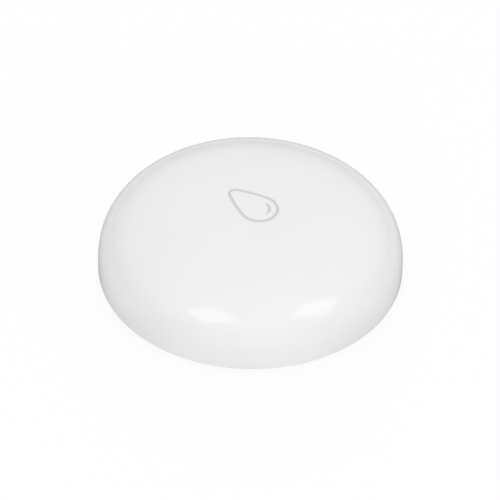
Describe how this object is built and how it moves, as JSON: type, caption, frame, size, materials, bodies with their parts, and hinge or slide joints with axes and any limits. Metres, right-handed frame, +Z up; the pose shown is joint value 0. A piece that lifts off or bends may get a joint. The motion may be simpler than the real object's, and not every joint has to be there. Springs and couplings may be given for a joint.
{
  "type": "water leak sensor",
  "caption": "Round domed white water leak sensor that rests on low feet, with two probe screws and a coin-turned battery cover underneath and a press-down top.",
  "frame": {"origin": "on the floor under the body's axis, at the underside of the feet", "axes": "+Z up out of the dome, +Y the way the tip of the drop mark points, and the two probe screws on the X axis"},
  "size_m": [0.05, 0.05, 0.015],
  "materials": {
    "shell_white": "polished white moulded plastic",
    "base_white": "fine-textured white moulded plastic",
    "cover_white": "fine-textured white moulded plastic",
    "seal_rubber": "matt black silicone rubber",
    "stainless": "machined stainless steel",
    "zinc_steel": "bright zinc-plated steel",
    "cell_steel": "nickel-plated steel",
    "cell_gasket": "black nylon",
    "contact_strip": "nickel-plated spring strip",
    "brass": "turned brass",
    "board_green": "glass-epoxy board with solder mask",
    "copper": "gold-flashed copper",
    "chip_black": "moulded epoxy",
    "tantalum_yellow": "moulded epoxy",
    "ceramic_tan": "fired ceramic",
    "resistor_black": "glazed ceramic",
    "tin": "tinned",
    "crystal_can": "plated metal lid",
    "led_white": "white moulded package",
    "led_lens": "clear amber resin",
    "switch_black": "black nylon",
    "switch_button": "black nylon"
  },
  "bodies": {
    "housing": {"upper_shell": "shell_white", "lower_shell": "base_white", "shell_seal": "seal_rubber", "cell_can": "cell_steel", "cell_gasket": "cell_gasket", "cell_cap": "cell_steel", "positive_contact": "contact_strip", "negative_contact": "contact_strip", "probe_screw_right": "stainless", "probe_screw_left": "stainless", "probe_seal_right": "seal_rubber", "probe_seal_left": "seal_rubber", "probe_standoff_right": "brass", "probe_standoff_left": "brass", "circuit_board": "board_green", "board_screws": "zinc_steel", "radio_chip": "chip_black", "sense_chip": "chip_black", "sense_leads": "tin", "bulk_capacitor": "tantalum_yellow", "chip_capacitors": "ceramic_tan", "chip_resistors": "resistor_black", "chip_ends": "tin", "crystal": "crystal_can", "antenna_trace": "copper", "status_led_body": "led_white", "status_led_lens": "led_lens", "switch_base": "switch_black", "switch_dome": "cell_steel", "switch_plate": "zinc_steel", "switch_terminals": "tin"},
    "battery_cover": {"battery_cover": "cover_white", "cover_seal": "seal_rubber"},
    "reset_button": {"switch_button": "switch_button"}
  },
  "joints": [
    {"name": "cover_turn", "type": "hinge", "parent": "housing", "child": "battery_cover", "pos_m": [0, 0, 0.002], "axis": [0, 0, -1], "range_deg": [0, 30]},
    {"name": "reset_press", "type": "slide", "parent": "housing", "child": "reset_button", "axis": [0, 0, -1], "range_m": [0, 0.00025], "stiffness_N_per_m": 6400, "deforming": ["switch_dome"]}
  ]
}
